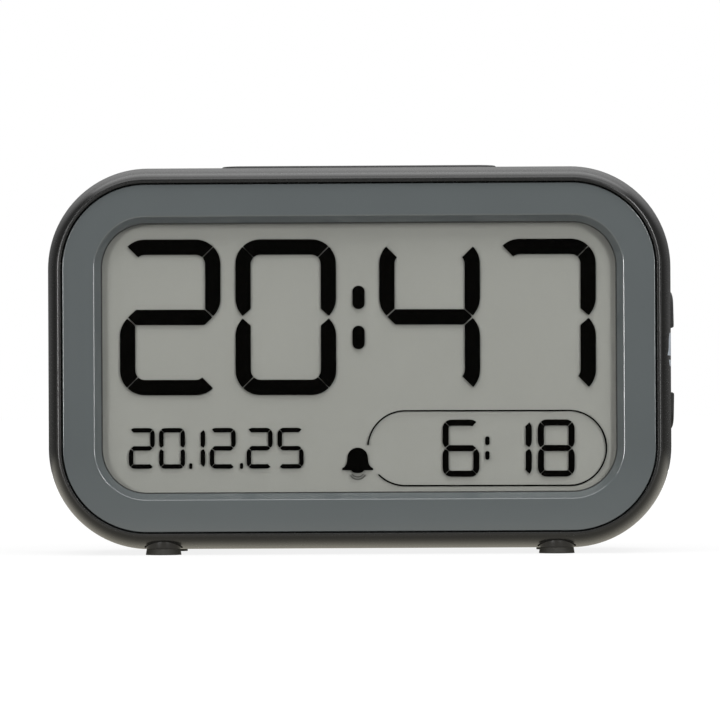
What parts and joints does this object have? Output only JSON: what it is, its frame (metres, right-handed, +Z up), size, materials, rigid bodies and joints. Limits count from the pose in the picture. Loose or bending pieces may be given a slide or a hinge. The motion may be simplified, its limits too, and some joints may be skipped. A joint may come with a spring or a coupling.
{
  "type": "digital desk clock",
  "caption": "Desk clock with a soft rounded case, a grey bezel round a wide LCD, a snooze bar on top, side keys and a battery door at the back.",
  "frame": {"origin": "centre of the footprint on the table, under the feet", "axes": "+X to the viewer's right along the width, +Y from the display to the back, +Z up"},
  "size_m": [0.1289, 0.046, 0.0799],
  "materials": {
    "case_plastic": "fine matt, dark slate",
    "bezel_plastic": "fine satin, blue grey",
    "key_plastic": "matt black",
    "foot_rubber": "black rubber",
    "clear_window": "clear gloss",
    "lcd_glass": "clear gloss",
    "film": "satin film",
    "light_plastic": "clear moulding",
    "white_plastic": "white moulding",
    "lamp": "lamp body",
    "strip_rubber": "soft strip",
    "circuit_board": "green resist",
    "black_resin": "black resin",
    "plunger_plastic": "grey plunger",
    "can_metal": "drawn can",
    "screw_steel": "zinc plated",
    "sounder_brass": "thin brass",
    "cell_can": "plain sleeve",
    "contact_steel": "nickel plated",
    "red_lead": "soft sheath",
    "black_lead": "soft sheath",
    "ribbon": "flat ribbon"
  },
  "bodies": {
    "clock": {"front_case": "case_plastic", "rear_cover": "case_plastic", "bezel": "bezel_plastic", "rubber_feet": "foot_rubber", "window_lens": "clear_window", "lcd_front_glass": "lcd_glass", "lcd_rear_glass": "lcd_glass", "lcd_front_polariser": "film", "lcd_reflector": "film", "window_tape": "film", "light_guide": "light_plastic", "lcd_holder": "white_plastic", "buzzer_ceramic": "white_plastic", "backlight_leds": "lamp", "contact_strips": "strip_rubber", "main_board": "circuit_board", "snooze_board": "circuit_board", "side_board": "circuit_board", "rear_board": "circuit_board", "controller_chip": "black_resin", "snooze_switches": "black_resin", "side_switches": "black_resin", "rear_switches": "black_resin", "alarm_switch_body": "black_resin", "quartz_crystal": "can_metal", "capacitor": "can_metal", "case_screws": "screw_steel", "display_screws": "screw_steel", "snooze_board_screws": "screw_steel", "side_board_screws": "screw_steel", "rear_board_screws": "screw_steel", "buzzer_disc": "sounder_brass", "battery_cells": "cell_can", "contact_springs": "contact_steel", "bridge_contact": "contact_steel", "positive_terminal": "contact_steel", "negative_terminal": "contact_steel", "positive_lead": "red_lead", "negative_lead": "black_lead", "buzzer_leads": "black_lead", "snooze_ribbon": "ribbon", "side_ribbon": "ribbon", "rear_ribbon": "ribbon"},
    "snooze": {"snooze_bar": "key_plastic", "snooze_plungers": "plunger_plastic"},
    "key_up": {"side_key_up": "key_plastic", "side_key_up_plunger": "plunger_plastic"},
    "key_down": {"side_key_down": "key_plastic", "side_key_down_plunger": "plunger_plastic"},
    "time_set": {"time_key": "key_plastic", "time_key_plunger": "plunger_plastic"},
    "alarm_set": {"alarm_key": "key_plastic", "alarm_key_plunger": "plunger_plastic"},
    "alarm_switch": {"alarm_slider": "key_plastic"},
    "door": {"battery_door": "case_plastic"}
  },
  "joints": [
    {"name": "snooze_press", "type": "slide", "parent": "clock", "child": "snooze", "axis": [0, 0, -1], "range_m": [0, 0.0005], "stiffness_N_per_m": 3000},
    {"name": "key_up_press", "type": "slide", "parent": "clock", "child": "key_up", "axis": [-1, 0, 0], "range_m": [0, 0.0006], "stiffness_N_per_m": 3000},
    {"name": "key_down_press", "type": "slide", "parent": "clock", "child": "key_down", "axis": [-1, 0, 0], "range_m": [0, 0.0006], "stiffness_N_per_m": 3000},
    {"name": "time_key_press", "type": "slide", "parent": "clock", "child": "time_set", "axis": [0, -1, 0], "range_m": [0, 0.0006], "stiffness_N_per_m": 3000},
    {"name": "alarm_key_press", "type": "slide", "parent": "clock", "child": "alarm_set", "axis": [0, -1, 0], "range_m": [0, 0.0006], "stiffness_N_per_m": 3000},
    {"name": "alarm_switch_slide", "type": "slide", "parent": "clock", "child": "alarm_switch", "axis": [1, 0, 0], "range_m": [0, 0.003]},
    {"name": "battery_door_hinge", "type": "hinge", "parent": "clock", "child": "door", "pos_m": [0, 0.02205, 0.0108], "axis": [-1, 0, 0], "range_deg": [0, 44]}
  ]
}
